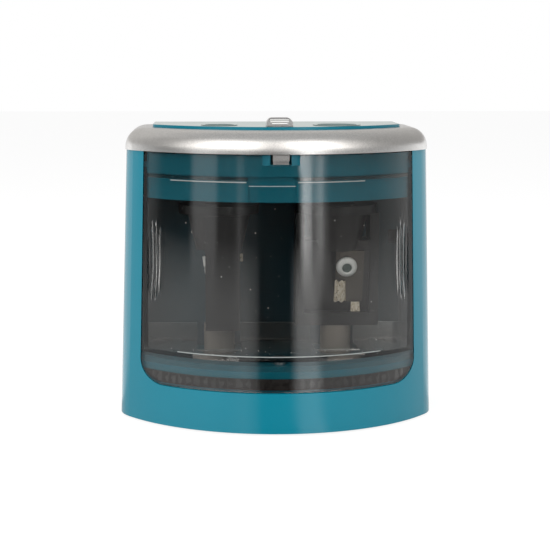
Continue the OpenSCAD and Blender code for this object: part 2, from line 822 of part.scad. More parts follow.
module motor_bracket() {
  t = 1.4;
  color("#4a5154") difference() {
    union() {
      block([-motor_w / 2 - 1.6, motor_y - motor_t / 2 + 1, motor_z - t],
        [motor_w / 2 + 1.6, motor_y + motor_t / 2 - 1, motor_z]);
      for (s = [-1, 1]) {
        block([min(s * (motor_w / 2 + 0.2), s * (motor_w / 2 + 1.6)), motor_y - motor_t / 2 + 1, motor_z - t],
          [max(s * (motor_w / 2 + 0.2), s * (motor_w / 2 + 1.6)), motor_y + motor_t / 2 - 1, motor_z + 9]);
        block([min(s * (motor_w / 2 + 0.2), s * (motor_w / 2 + 1.6)), motor_y + 1, 9.6],
          [max(s * (motor_w / 2 + 0.2), s * (motor_w / 2 + 1.6)), motor_y + 7, motor_z]);
        block([min(s * (motor_w / 2 + 0.2), s * 20.4), motor_y + 1, 9.6],
          [max(s * (motor_w / 2 + 0.2), s * 20.4), motor_y + 7, 9.6 + t]);
      }
    }
    translate([0, motor_y, 0]) rod(0, 30, 6.4);
    for (s = [-1, 1]) {
      translate([s * 8, motor_y, 0]) rod(0, 30, 2.2);
      translate([s * 17.6, motor_y + 4, 0]) rod(0, 30, 2.6);
    }
  }
}

module bracket_screws() {
  color("#b9bdc1") for (s = [-1, 1]) translate([s * 17.6, motor_y + 4, 22]) mirror([0, 0, 1])
    difference() {
      screw(11, 5, 2.1, 4.4, 1.3);
      drive_cross(7.2, 2.4);
    }
}

module motor_section(g) {
  intersection() {
    circle(d = motor_w - 2 * g, $fn = 96);
    square([motor_w, motor_t - 2 * g], center = true);
  }
}

module motor_can() {
  color("#b4b8bb") translate([0, motor_y, 0]) difference() {
    union() {
      translate([0, 0, motor_z]) linear_extrude(motor_l) motor_section(0);
      rod(motor_z - 1.6, motor_z + eps, 6);
    }
    translate([0, 0, motor_z + 1]) linear_extrude(motor_l) motor_section(1);
    rod(0, 60, 2 + 2 * run_gap);
    for (s = [-1, 1]) translate([s * 8, 0, 0]) rod(motor_z - 1, motor_z + 2, 2);
  }
}

module motor_end_cap() {
  z = motor_z + motor_l;
  color("#e8e6df") translate([0, motor_y, 0]) difference() {
    union() {
      translate([0, 0, z]) linear_extrude(1.6) motor_section(0.2);
      translate([0, 0, z - 2]) linear_extrude(2 + eps) motor_section(1.1);
      rod(z, z + 3, 6.4);
      for (s = [-1, 1]) block([s * 8 - 1.2, -0.3, z + 1.5], [s * 8 + 1.2, 0.3, z + 5]);
    }
    translate([0, 0, z - 3]) cylinder(h = 5.4, d = 2 + 2 * run_gap, $fn = 36);
  }
}

module motor_screws() {
  color("#b9bdc1") for (s = [-1, 1]) translate([s * 8, motor_y, 0]) difference() {
    screw(motor_z - 1.4, 3.2, 1.9, 3.6, 1.1);
    drive_cross(motor_z - 4.9, 2);
  }
}

// Shaft, three-pole lamination pack and commutator
module rotor() {
  z = motor_z + 5.4;
  pack_d = motor_t - 5;
  color("#8a5a34") translate([0, motor_y, 0]) union() {
    rod(large_z - 1, motor_z + motor_l + 2.2, 2);
    difference() {
      rod(z, z + motor_l - 15, pack_d, 72);
      for (a = [60, 180, 300]) rotate([0, 0, a]) translate([0.4 * pack_d, 0, 0])
        rod(z - 1, z + motor_l - 14, 5);
    }
    rod(z + motor_l - 13.5, z + motor_l - 9, 5);
  }
}

module pinion() {
  color("#c9a24e") translate([0, motor_y, 0]) difference() {
    gear(teeth_pinion, meshed(90, teeth_large, large_phase, teeth_pinion), large_z - 0.3, large_w + 0.6);
    rod(0, 20, 2.02);
  }
}

// ---------- cells ----------

tray_z = body_h - 67.6;
tray_t = 1.5;
cell_z = tray_z + tray_t;
cell_top = cell_z + 0.4 + 3.1 + cell_l + 1;

module battery_tray() {
  color("#2e3336") difference() {
    union() {
      for (s = [-1, 1]) {
        block([min(s * 14.6, s * 44.6), 11, tray_z], [max(s * 14.6, s * 44.6), 28, cell_z]);
        block([min(s * 14.6, s * 44.6), 11, cell_top + 0.4], [max(s * 14.6, s * 44.6), 27, cell_top + 1.6]);
        block([min(s * 16, s * 44.6), 11, tray_z], [max(s * 16, s * 44.6), 12.2, cell_top + 1.6]);
        block([s * 29.6 - 0.5, 11, tray_z], [s * 29.6 + 0.5, 14, cell_top + 1]);
        block([min(s * 26, s * 34), 14, 10], [max(s * 26, s * 34), 22, 11.6]);
        for (x = [26, 32.6])
          block([min(s * x, s * (x + 1.4)), 14, 10], [max(s * x, s * (x + 1.4)), 22, tray_z + eps]);
      }
      block([-18, 11, cell_top - 25.5], [18, 12.2, cell_top - 7.5]);
    }
    for (p = tray_screw_at) translate([p[0], p[1], 0]) rod(0, 25, 2.8);
  }
}

module tray_screws() {
  color("#b9bdc1") for (p = tray_screw_at) translate([p[0], p[1], 23.2]) mirror([0, 0, 1])
    difference() {
      screw(11.6, 6, 2.1, 4.2, 1.4);
      drive_cross(11.6 - 3.9, 2.4);
    }
}

module cells() {
  color("#3b4a6b") for (p = cell_at) translate([p[0], p[1], 0]) {
    z0 = p[2] > 0 ? cell_z + 3.5 : cell_z + 1.4;
    rod(z0, z0 + cell_l, cell_d, 72);
    if (p[2] > 0) rod(z0 + cell_l - eps, z0 + cell_l + 1, 5.4);
    else rod(z0 - 1, z0 + eps, 5.4);
  }
}

module cell_plates() {
  color("#c8ccd0") for (s = [-1, 1]) {
    block([min(s * 17, s * 43.6), 14, cell_z], [max(s * 17, s * 43.6), 26, cell_z + 0.4]);
    for (x = [17, 31.6])
      block([min(s * x, s * (x + 11)), 14, cell_top], [max(s * x, s * (x + 11)), 26, cell_top + 0.4]);
  }
}

module cell_springs() {
  color("#d0d2d4") for (p = cell_at) {
    z0 = p[2] > 0 ? cell_z + 0.4 : cell_top - 3.1;
    translate([p[0], p[1], z0]) union() {
      for (k = [0:3]) translate([0, 0, 0.35 + k * 0.8]) rotate_extrude($fn = 32)
        translate([p[2] > 0 ? 4.2 - k * 0.5 : 2.7 + k * 0.5, 0]) circle(0.35, $fn = 16);
      for (a = [0, 180]) rotate([0, 0, a]) translate([p[2] > 0 ? 2.4 : 2.4, -0.25, 0.2]) cube([2, 0.5, 2.7]);
    }
  }
}

door_rib_z = tray_z - 3 + door_h - 12;

module battery_door() {
  color("#1f8a9c") difference() {
    intersection() {
      band() wall_profile();
      door_prism(-door_gap);
    }
    for (k = [0:4]) block([-9, back_y - 1.6 - lean(door_rib_z + 6), door_rib_z + k * 2],
      [9, back_y + 2, door_rib_z + 1 + k * 2]);
  }
}

module interlock() {
  color("#1c1d1f") union() {
    block([bin_half - 6, wall_y + 1.6, 57], [bin_half + 1.6, wall_y + 2.9, 68]);
    block([bin_half - 4.6, wall_y + 0.1, 60.5], [bin_half - 0.2, wall_y + 0.5, 63.5]);
    block([bin_half - 4.6, wall_y + 0.1, 60.5], [bin_half - 3.8, wall_y + 2, 63.5]);
  }
}

module wire(points, d) {
  for (k = [0:len(points) - 2]) {
    a = points[k];
    b = points[k + 1];
    v = b - a;
    l = norm(v);
    translate(a) rotate([0, acos(v[2] / l), atan2(v[1], v[0])]) cylinder(h = l, d = d, $fn = 24);
    if (k < len(points) - 2) translate(b) sphere(d = d + 0.3, $fn = 24);
  }
}

module wire_red() {
  z = motor_z + motor_l + 5;
  color("#b3261e") wire([[8, motor_y, z], [8, motor_y, cell_top - 0.3],
    [16.9, motor_y, cell_top - 0.3]], 1.2);
}

module wire_black() {
  z = motor_z + motor_l + 5;
  color("#191919") wire([[-8, motor_y, z], [-8, motor_y, cell_top - 0.3],
    [-16.9, motor_y, cell_top - 0.3]], 1.2);
}

body_shell();
base_plate();
rubber_feet();
base_screws();
trim_ring();
top_plate();
guide_small();
guide_large();
top_housing();
housing_screws();
release_button();
release_spring();
shavings_bin();
bin_strip();
chamber_liner();
gear_deck();
deck_screws();
spindle_bushes();
left_cage();
left_block();
left_blade();
left_blade_screw();
left_spindle();
left_gear();
right_cage();
right_block();
right_blade();
right_blade_screw();
right_spindle();
right_gear();
compound_gear();
gear_pin();
motor_bracket();
bracket_screws();
motor_can();
motor_end_cap();
motor_screws();
rotor();
pinion();
battery_tray();
tray_screws();
cells();
cell_plates();
cell_springs();
battery_door();
interlock();
wire_red();
wire_black();
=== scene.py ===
# %% [markdown]
# # A battery pencil sharpener in Blender
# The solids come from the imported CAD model, where every moulding, gear and cutter already has its
# real size and its joint. Blender adds what a drawing leaves out: silver paint with its fine metal
# grain, smoky clear plastic, wound springs, and the dust and chips that every sharpener collects.

# %% Load the frame
import math
import bmesh
import bpy
from mathutils import Matrix, Vector


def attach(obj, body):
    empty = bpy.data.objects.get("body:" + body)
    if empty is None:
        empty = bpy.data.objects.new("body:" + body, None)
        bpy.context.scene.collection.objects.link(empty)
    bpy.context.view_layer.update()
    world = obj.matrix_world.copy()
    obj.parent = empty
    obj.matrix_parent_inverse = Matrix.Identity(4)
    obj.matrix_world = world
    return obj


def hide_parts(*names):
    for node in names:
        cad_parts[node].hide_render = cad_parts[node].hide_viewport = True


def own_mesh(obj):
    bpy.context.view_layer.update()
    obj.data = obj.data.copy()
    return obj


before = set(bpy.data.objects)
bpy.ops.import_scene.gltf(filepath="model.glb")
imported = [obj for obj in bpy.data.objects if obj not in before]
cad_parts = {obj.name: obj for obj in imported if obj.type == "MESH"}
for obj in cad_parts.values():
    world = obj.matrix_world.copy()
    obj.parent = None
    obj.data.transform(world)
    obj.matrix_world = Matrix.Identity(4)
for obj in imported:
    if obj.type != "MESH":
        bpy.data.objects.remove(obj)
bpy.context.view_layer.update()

# %% [markdown]
# Cycles works in linear light, while colours are usually picked in sRGB. One function turns a hex
# value into linear numbers, and one function adds a node with its settings and its links, so every
# material below reads as a short recipe.

# %% Colour and node helpers
MM = 0.001
GRAIN_DEPTH = 0.05 * MM     # height of a mould grain or of a paint's flakes
# A colour mix keeps its two colours on sockets 6 and 7, and its result on 2
COLOUR_A, COLOUR_B, MIXED = 6, 7, 2


def colour(hex_text, alpha=1.0):
    parts = [int(hex_text[i:i + 2], 16) / 255 for i in (1, 3, 5)]
    linear = [p / 12.92 if p <= 0.04045 else ((p + 0.055) / 1.055) ** 2.4 for p in parts]
    return (*linear, alpha)


def add(tree, kind, links=(), inputs=(), **settings):
    node = tree.nodes.new(kind)
    for name, value in settings.items():
        setattr(node, name, value)
    for name, value in dict(inputs).items():
        node.inputs[name].default_value = value
    for name, source in dict(links).items():
        tree.links.new(source, node.inputs[name])
    return node


def new_material(name):
    material = bpy.data.materials.new(name)
    material.use_nodes = True
    tree = material.node_tree
    tree.nodes.clear()
    return material, tree


print("helpers ready:", colour.__name__, add.__name__, new_material.__name__)

# %% [markdown]
# Most finishes share one build: a base colour that drifts a little from place to place, a roughness
# that drifts with it, and a fine bump for the mould grain. The drift is large and faint, the grain
# small and faint. Sizes are in millimetres, so the scale of a pattern is one over its size.

# %% A moulded or machined finish
def finish(name, base, rough, grain_mm=0.25, grain=0.05, drift=0.03, metal=0.0, coat=0.0,
           stretch=(1, 1, 1), rough_drift=0.05, drift_mm=18):
    material, tree = new_material(name)
    place = add(tree, "ShaderNodeTexCoord")
    size = add(tree, "ShaderNodeMapping", {"Vector": place.outputs["Object"]}, {"Scale": stretch})
    cloud = add(tree, "ShaderNodeTexNoise", {"Vector": size.outputs["Vector"]},
                {"Scale": 1 / (drift_mm * MM), "Detail": 3.0})
    fine = add(tree, "ShaderNodeTexNoise", {"Vector": size.outputs["Vector"]},
               {"Scale": 1 / (grain_mm * MM), "Detail": 2.0})
    linear = colour(base)
    tint = add(tree, "ShaderNodeMix", {"Factor": cloud.outputs["Fac"]}, data_type="RGBA")
    tint.inputs[COLOUR_A].default_value = (*[max(0.0, c * (1 - drift * 2)) for c in linear[:3]], 1)
    tint.inputs[COLOUR_B].default_value = (*[min(1.0, c * (1 + drift * 2)) for c in linear[:3]], 1)
    worn = add(tree, "ShaderNodeMapRange", {"Value": cloud.outputs["Fac"]},
               {"To Min": max(0.02, rough - rough_drift), "To Max": min(1.0, rough + rough_drift)})
    bump = add(tree, "ShaderNodeBump", {"Height": fine.outputs["Fac"]},
               {"Strength": grain, "Distance": GRAIN_DEPTH})
    shader = add(tree, "ShaderNodeBsdfPrincipled",
                 {"Base Color": tint.outputs[MIXED], "Roughness": worn.outputs["Result"],
                  "Normal": bump.outputs["Normal"]},
                 {"Metallic": metal, "Coat Weight": coat, "Coat Roughness": 0.06})
    add(tree, "ShaderNodeOutputMaterial", {"Surface": shader.outputs["BSDF"]})
    return material


def dress(material, *nodes):
    for node in nodes:
        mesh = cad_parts[node].data
        mesh.materials.clear()
        mesh.materials.append(material)
    print(material.name, "->", ", ".join(nodes))


# %% [markdown]
# The outside is glossy ABS straight from a polished mould: full teal where nothing shines on it, and
# grey towards the silhouette, where every plastic turns into a mirror. The mouldings behind the bin
# are the same ABS with a satin face. In the cutting chamber the liner is coloured much darker and the
# deck a little darker: painted shade, since little light reaches them.

# %% Teal ABS
TEAL = "#00788c"
dress(finish("glossy teal ABS", TEAL, 0.2, grain_mm=0.9, grain=0.035, drift=0.02),
      "body_shell", "battery_door")
dress(finish("satin teal ABS", "#04768a", 0.36, grain=0.06), "top_housing")
# Painted shade: the chamber's liner is a much darker teal, and the deck below it a little darker
dress(finish("satin teal ABS in the chamber, darkened as painted shade", "#063c49", 0.32, grain=0.06), "chamber_liner")
dress(finish("satin teal ABS of the deck", "#0b6474", 0.3, grain=0.06), "gear_deck")

# %% [markdown]
# The plate with the pencil holes is the same teal, but its flat top is coloured a pale grey, and so are
# the flat tops of the guides in the holes. The direction of a face decides: only what looks straight up
# is grey.

# %% Grey tops
TOP_GREY = "#9ba3a0"


def grey_top(material):
    tree = material.node_tree
    shader = next(node for node in tree.nodes if node.type == "BSDF_PRINCIPLED")
    fresh = shader.inputs["Base Color"].links[0].from_socket
    face = add(tree, "ShaderNodeNewGeometry")
    sides = add(tree, "ShaderNodeSeparateXYZ", {"Vector": face.outputs["Normal"]})
    # The upward part of the normal is 1 on a flat top and 0 on a wall
    flat = add(tree, "ShaderNodeMapRange", {"Value": sides.outputs["Z"]}, {"From Min": 0.7, "From Max": 0.95})
    greyed = add(tree, "ShaderNodeMix", {0: flat.outputs["Result"], COLOUR_A: fresh}, data_type="RGBA")
    greyed.inputs[COLOUR_B].default_value = colour(TOP_GREY)
    tree.links.new(greyed.outputs[MIXED], shader.inputs["Base Color"])
    return material


dress(grey_top(finish("glossy teal ABS, grey on top", TEAL, 0.3, grain_mm=0.9, grain=0.035)),
      "top_plate")
dress(grey_top(finish("satin teal ABS, dark, grey on top", "#5b6a69", 0.4)),
      "guide_small", "guide_large")

# %% [markdown]
# The plastic parts inside are each named for what they are made of. Moulded black ABS is matt and stays
# quiet behind the clear front, nylon with glass fibre has a coarser grain, and acetal looks waxy.

# %% Inner parts of plastic and rubber
dress(finish("black ABS, matt", "#16181a", 0.55, grain=0.12),
      "base_plate", "battery_tray", "interlock", "motor_bracket")
dress(finish("dark brown strip, gloss", "#2b2725", 0.22), "bin_strip")
dress(finish("black rubber, moulded", "#1b1c1d", 0.75, grain=0.2), "rubber_feet")
dress(finish("black nylon, glass filled", "#1c1b1c", 0.42, grain=0.15), "left_cage", "right_cage")
dress(finish("warm grey acetal", "#8c857c", 0.45), "left_spindle", "right_spindle")
dress(finish("natural acetal", "#e3e0d6", 0.4),
      "left_gear", "right_gear", "compound_gear", "motor_end_cap")
dress(finish("cell sleeve, plain", "#2f4468", 0.3, coat=0.5), "cells")
dress(finish("red PVC", "#a31d16", 0.5), "wire_red")
dress(finish("black PVC", "#141414", 0.5), "wire_black")

# %% [markdown]
# Zinc plating has a bright, slightly milky shine. The blades are ground along their length, so their
# noise is stretched into fine lines, and brass and oil-filled bronze stay warm among the greys.

# %% Inner parts of metal
dress(finish("zinc plated steel", "#b6babd", 0.32, metal=1.0),
      "base_screws", "housing_screws", "deck_screws", "bracket_screws", "motor_screws", "tray_screws",
      "gear_pin", "motor_can")
# The screws of the blades are near-white and hardly metallic: a painted highlight for the shine of zinc
dress(finish("zinc plated steel, near-white as a painted highlight", "#f4f6f3", 0.35, metal=0.1),
      "left_blade_screw", "right_blade_screw")
dress(finish("spring steel, bright", "#c6cacd", 0.25, metal=1.0), "cell_plates")
dress(finish("blade steel, ground", "#5c5650", 0.34, metal=1.0, stretch=(1, 1, 12)),
      "left_blade", "right_blade")
dress(finish("dark cast holder", "#2c2828", 0.38, grain=0.15, metal=0.2), "left_block", "right_block")
dress(finish("oil-filled bronze", "#a5793f", 0.4, metal=1.0), "spindle_bushes")
dress(finish("turned brass", "#c9a24e", 0.3, metal=1.0), "pinion")
dress(finish("enamelled copper and laminations", "#8a4b2a", 0.4, metal=0.5), "rotor")

# %% [markdown]
# The ring and the button are ABS under silver paint. The paint carries aluminium flake, so it shines
# like metal but breaks every highlight into a fine grain. Real flake is about 0.03 mm across and would
# vanish here, so it is drawn at 0.2 mm: each cell of a Voronoi pattern gets its own brightness, and a
# noise of the same size roughens the surface.

# %% Silver paint
FLAKE_MM = 0.2


def flake_paint(name, bright, dull):
    material, tree = new_material(name)
    place = add(tree, "ShaderNodeTexCoord")
    cells = add(tree, "ShaderNodeTexVoronoi", {"Vector": place.outputs["Object"]},
                {"Scale": 1 / (FLAKE_MM * MM)})
    parts = add(tree, "ShaderNodeSeparateColor", {"Color": cells.outputs["Color"]})
    shade = add(tree, "ShaderNodeMix", {0: parts.outputs["Red"]}, data_type="RGBA")
    shade.inputs[COLOUR_A].default_value = colour(dull)
    shade.inputs[COLOUR_B].default_value = colour(bright)
    grain = add(tree, "ShaderNodeTexNoise", {"Vector": place.outputs["Object"]},
                {"Scale": 1 / (FLAKE_MM * MM), "Detail": 2.0})
    bump = add(tree, "ShaderNodeBump", {"Height": grain.outputs["Fac"]},
               {"Strength": 0.1, "Distance": GRAIN_DEPTH})
    shader = add(tree, "ShaderNodeBsdfPrincipled",
                 {"Base Color": shade.outputs[MIXED], "Normal": bump.outputs["Normal"]},
                 {"Metallic": 0.9, "Roughness": 0.28})
    add(tree, "ShaderNodeOutputMaterial", {"Surface": shader.outputs["BSDF"]})
    return material


dress(flake_paint("silver paint on ABS", "#dedddb", "#c6c5c3"), "trim_ring", "release_button")

# %% [markdown]
# The bin is clear styrene with a smoky grey tint. The camera sees real refraction, while rays from the
# lamps pass straight through a tinted Transparent shader, because light that is bent twice would reach
# the chamber only as noise. Two faces are crossed for each wall, so the lamps' tint is the square root
# of the wall's. A stretched noise gives the faint upright waves that a long moulding keeps.

# %% Smoky clear plastic
WAVE_MM, WAVE_STRETCH, WAVE_DEPTH = 5, 0.12, 0.1 * MM


def smoky_clear(name, wall, face):
    material, tree = new_material(name)
    path = add(tree, "ShaderNodeLightPath")
    place = add(tree, "ShaderNodeTexCoord")
    tall = add(tree, "ShaderNodeMapping", {"Vector": place.outputs["Object"]},
               {"Scale": (1, 1, WAVE_STRETCH)})
    wave = add(tree, "ShaderNodeTexNoise", {"Vector": tall.outputs["Vector"]},
               {"Scale": 1 / (WAVE_MM * MM), "Detail": 2.0})
    bump = add(tree, "ShaderNodeBump", {"Height": wave.outputs["Fac"]},
               {"Strength": 0.15, "Distance": WAVE_DEPTH})
    glass = add(tree, "ShaderNodeBsdfPrincipled", {"Normal": bump.outputs["Normal"]},
                {"Base Color": colour(wall), "Roughness": 0.02, "IOR": 1.55, "Transmission Weight": 1.0})
    passed = add(tree, "ShaderNodeBsdfTransparent", {}, {"Color": colour(face)})
    both = add(tree, "ShaderNodeMixShader", {0: path.outputs["Is Shadow Ray"], 1: glass.outputs["BSDF"],
                                             2: passed.outputs["BSDF"]})
    add(tree, "ShaderNodeOutputMaterial", {"Surface": both.outputs["Shader"]})
    return material


smoky = smoky_clear("smoky clear styrene", "#dadad8", "#edecec")
dress(smoky, "shavings_bin")

# %% [markdown]
# Pieces made here follow the same curved front as the drawing. It is a cone about an upright axis
# behind the middle of the body, so one function gives the place of a point from its angle, its height
# and how far it lies inside the outer surface.

# %% The bowed front
ARC_Y = 30.8                        # the cone's axis, in mm behind the middle
FRONT_R, DRAFT = 64.8, 2.9          # its radius at the foot, and how much that shrinks to the top
FOOT, WALL = 0.6, 93.0              # where the wall starts, and its height


def front_radius(z, inset):
    return FRONT_R - DRAFT * (z - FOOT) / WALL - inset


def front(angle, z, inset):
    r = front_radius(z, inset)
    return Vector((r * math.sin(angle), ARC_Y - r * math.cos(angle), z)) * MM


def front_at(x, z, inset):
    return front(math.asin(x / front_radius(z, inset)), z, inset)


def link(name, mesh, material=None):
    item = bpy.data.objects.new(name, mesh)
    bpy.context.collection.objects.link(item)
    if material:
        mesh.materials.append(material)
    return item


def solid(name, rings, material, smooth=False):
    """A tube of equal rings of points, closed at both ends."""
    shape = bmesh.new()
    rows = [[shape.verts.new(p) for p in ring] for ring in rings]
    n = len(rows[0])
    for a, b in zip(rows, rows[1:]):
        for k in range(n):
            shape.faces.new((a[k], a[(k + 1) % n], b[(k + 1) % n], b[k]))
    shape.faces.new(list(reversed(rows[0])))
    shape.faces.new(rows[-1])
    bmesh.ops.recalc_face_normals(shape, faces=shape.faces)
    mesh = bpy.data.meshes.new(name)
    shape.to_mesh(mesh)
    shape.free()
    for face in mesh.polygons:
        face.use_smooth = smooth
    return link(name, mesh, material)


print("front of the body at its middle:", [round(v * 1000, 1) for v in front(0, 50, 0)], "mm")

# %% [markdown]
# Behind its clear front the bin has a narrow ledge that lies in a groove of the teal moulding and
# stops on either side of the release tab, and its two side walls reach up to that ledge. Both are
# thin clear pieces, so they are swept here along the curve of the front.

# %% Ledge and upper side walls of the bin
BACK_FACE = 2.04                    # how far the back of the clear front lies inside its face, in mm
LEDGE_REACH = 3.4                   # how far the ledge reaches inwards
LEDGE_FOOT, LEDGE_TOP, LEDGE_TAPER = 84.85, 85.85, 0.1
LEDGE_STEPS = 40
SIDE_OUTER, SIDE_INNER = 45.35, 44.05
SIDE_RINGS = ((76.44, 5.3), (84.9, 5.3), (85.8, 4.6))   # height of each ring, and how far back it goes


def ledge(name, x0, x1):
    outline = ((BACK_FACE, LEDGE_FOOT), (LEDGE_REACH, LEDGE_FOOT + LEDGE_TAPER),
               (LEDGE_REACH, LEDGE_TOP - LEDGE_TAPER), (BACK_FACE, LEDGE_TOP))
    rings = []
    for k in range(LEDGE_STEPS + 1):
        x = x0 + (x1 - x0) * k / LEDGE_STEPS
        rings.append([front_at(x, z, inset) for inset, z in outline])
    return solid(name, rings, smoky)


def side_wall(name, side):
    rings = []
    outer, inner = side * SIDE_OUTER, side * SIDE_INNER
    for z, back in SIDE_RINGS:
        rings.append([front_at(outer, z, BACK_FACE), front_at(inner, z, BACK_FACE),
                      Vector((inner, back, z)) * MM, Vector((outer, back, z)) * MM])
    return solid(name, rings, smoky)


clear_pieces = [ledge("bin_ledge_left", -43.9, -10.8), ledge("bin_ledge_right", 5.2, 43.9),
                side_wall("bin_side_left", -1), side_wall("bin_side_right", 1)]
print("clear pieces on the bin:", [piece.name for piece in clear_pieces])

# %% [markdown]
# Polished styrene turns a fine round edge into a white line. Bent light would find such an edge only
# with far more rays, so the line is painted: each one is a thin bead with a pale glossy finish, a
# painted highlight, sunk in the back of the clear front: one along the ledge on either side, one under
# the tab and one over the floor.

# %% Painted highlights: fine edges inside the front
BEAD_ROOT, BEAD_OUT = 2.0, 0.7      # the inset of its root in mm, and its middle past that in radii
BEAD_STEPS, BEAD_SIDES = 36, 10
# The pale colour of the beads is a painted highlight
edge_highlight_paint = finish("pale bead, a painted highlight of a styrene edge", "#dfe6e5", 0.15, grain=0.0, coat=1.0)


def bead(name, x0, x1, z, radius):
    inset = BEAD_ROOT + radius * BEAD_OUT
    rings = []
    for k in range(BEAD_STEPS + 1):
        x = x0 + (x1 - x0) * k / BEAD_STEPS
        ring = []
        for j in range(BEAD_SIDES):
            a = math.tau * j / BEAD_SIDES
            point = front_at(x, z, inset + radius * math.cos(a))
            point.z += radius * MM * math.sin(a)
            ring.append(point)
        rings.append(ring)
    return solid(name, rings, edge_highlight_paint, smooth=True)


clear_pieces += [bead("bead_left", -36.0, -11.2, 84.3, 0.2), bead("bead_right", 5.6, 28.0, 84.3, 0.18),
                 bead("bead_middle", -10.4, 4.8, 83.1, 0.13), bead("bead_floor", -34.0, 34.0, 26.3, 0.18)]
for piece in clear_pieces:
    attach(piece, "bin")
print("pieces that ride on the bin:", len(clear_pieces))

# %% [markdown]
# A compression spring is one wire that turns about an axis while it climbs. Geometry Nodes can say
# just that: a line is cut into many points, each point gets an angle from its share of the line, and
# a soft ramp for the height packs the first and last turns together, as on a spring with closed ends.
# Different radii at foot and head give the conical springs that press on the cells.

# %% A spring tree
POINTS_ON_WIRE, WIRE_SIDES = 220, 10


def new_tree(name, *sockets):
    tree = bpy.data.node_groups.new(name, "GeometryNodeTree")
    tree.interface.new_socket("Geometry", in_out="OUTPUT", socket_type="NodeSocketGeometry")
    for label, kind in sockets:
        tree.interface.new_socket(label, in_out="INPUT", socket_type=kind)
    return tree, tree.nodes.new("NodeGroupInput").outputs, tree.nodes.new("NodeGroupOutput").inputs


def end_tree(tree, geometry, given, result):
    """Every tree ends in plain geometry with its material."""
    real = add(tree, "GeometryNodeRealizeInstances", {"Geometry": geometry})
    last = add(tree, "GeometryNodeSetMaterial",
               {"Geometry": real.outputs["Geometry"], "Material": given["Material"]})
    tree.links.new(last.outputs["Geometry"], result["Geometry"])


def spring_tree():
    tree, given, result = new_tree(
        "spring", ("Turns", "NodeSocketFloat"), ("Foot Radius", "NodeSocketFloat"),
        ("Head Radius", "NodeSocketFloat"), ("Length", "NodeSocketFloat"),
        ("Wire", "NodeSocketFloat"), ("Material", "NodeSocketMaterial"))
    line = add(tree, "GeometryNodeCurvePrimitiveLine")
    points = add(tree, "GeometryNodeResampleCurve", {"Curve": line.outputs["Curve"]},
                 {"Count": POINTS_ON_WIRE})
    share = add(tree, "GeometryNodeSplineParameter").outputs["Factor"]
    turns = add(tree, "ShaderNodeMath", {0: share, 1: given["Turns"]}, operation="MULTIPLY").outputs[0]
    angle = add(tree, "ShaderNodeMath", {0: turns}, {1: math.tau}, operation="MULTIPLY").outputs[0]
    radius = add(tree, "ShaderNodeMapRange", {"Value": share, "To Min": given["Foot Radius"],
                                              "To Max": given["Head Radius"]}).outputs["Result"]
    climb = add(tree, "ShaderNodeMapRange", {"Value": share, "To Max": given["Length"]},
                interpolation_type="SMOOTHSTEP").outputs["Result"]
    cos = add(tree, "ShaderNodeMath", {0: angle}, operation="COSINE").outputs[0]
    sin = add(tree, "ShaderNodeMath", {0: angle}, operation="SINE").outputs[0]
    x = add(tree, "ShaderNodeMath", {0: cos, 1: radius}, operation="MULTIPLY").outputs[0]
    y = add(tree, "ShaderNodeMath", {0: sin, 1: radius}, operation="MULTIPLY").outputs[0]
    spot = add(tree, "ShaderNodeCombineXYZ", {"X": x, "Y": y, "Z": climb}).outputs["Vector"]
    wound = add(tree, "GeometryNodeSetPosition", {"Geometry": points.outputs["Curve"], "Position": spot})
    half = add(tree, "ShaderNodeMath", {0: given["Wire"]}, {1: 0.5}, operation="MULTIPLY").outputs[0]
    round_wire = add(tree, "GeometryNodeCurvePrimitiveCircle", {"Radius": half}, {"Resolution": WIRE_SIDES})
    wire = add(tree, "GeometryNodeCurveToMesh", {"Curve": wound.outputs["Geometry"],
                                                 "Profile Curve": round_wire.outputs["Curve"]},
               {"Fill Caps": True})
    end_tree(tree, wire.outputs["Mesh"], given, result)
    return tree


def grow(name, tree, values, seed_mesh=None):
    """Runs a tree once and returns its plain mesh."""
    item = link(name, seed_mesh or bpy.data.meshes.new(name + " seed"))
    modifier = item.modifiers.new("nodes", "NODES")
    modifier.node_group = tree
    for socket in tree.interface.items_tree:
        if socket.in_out == "INPUT" and socket.name in values:
            modifier[socket.identifier] = values[socket.name]
    bpy.context.view_layer.update()
    mesh = bpy.data.meshes.new_from_object(item.evaluated_get(bpy.context.evaluated_depsgraph_get()))
    item.modifiers.remove(modifier)
    bpy.data.objects.remove(item)
    return mesh


spring_steel = finish("spring steel wire, bright", "#c6cacd", 0.22, metal=1.0)
springs = spring_tree()
print("spring tree:", len(springs.nodes), "nodes")

# %% [markdown]
# The release spring lies behind the button and pushes it forward.

# %% Release spring
RELEASE_COIL = {"Turns": 8.0, "Foot Radius": 1.7 * MM, "Head Radius": 1.7 * MM, "Length": 10.3 * MM,
                "Wire": 0.6 * MM, "Material": spring_steel}
BUTTON_END = (0, -0.01505, 0.0924)      # where the coil starts, in metres
mesh = grow("release coil", springs, RELEASE_COIL)
mesh.transform(Matrix.Translation(BUTTON_END) @ Matrix.Rotation(-math.pi / 2, 4, "X"))
release_coil = link("release_coil", mesh)
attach(release_coil, "housing")
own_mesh(release_coil)
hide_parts("release_spring")
print("release coil:", len(release_coil.data.vertices), "points")

# %% [markdown]
# Four conical springs press the cells against their contacts. Two stand on the floor of the tray with
# the narrow end up, and two hang from the top with the narrow end down.

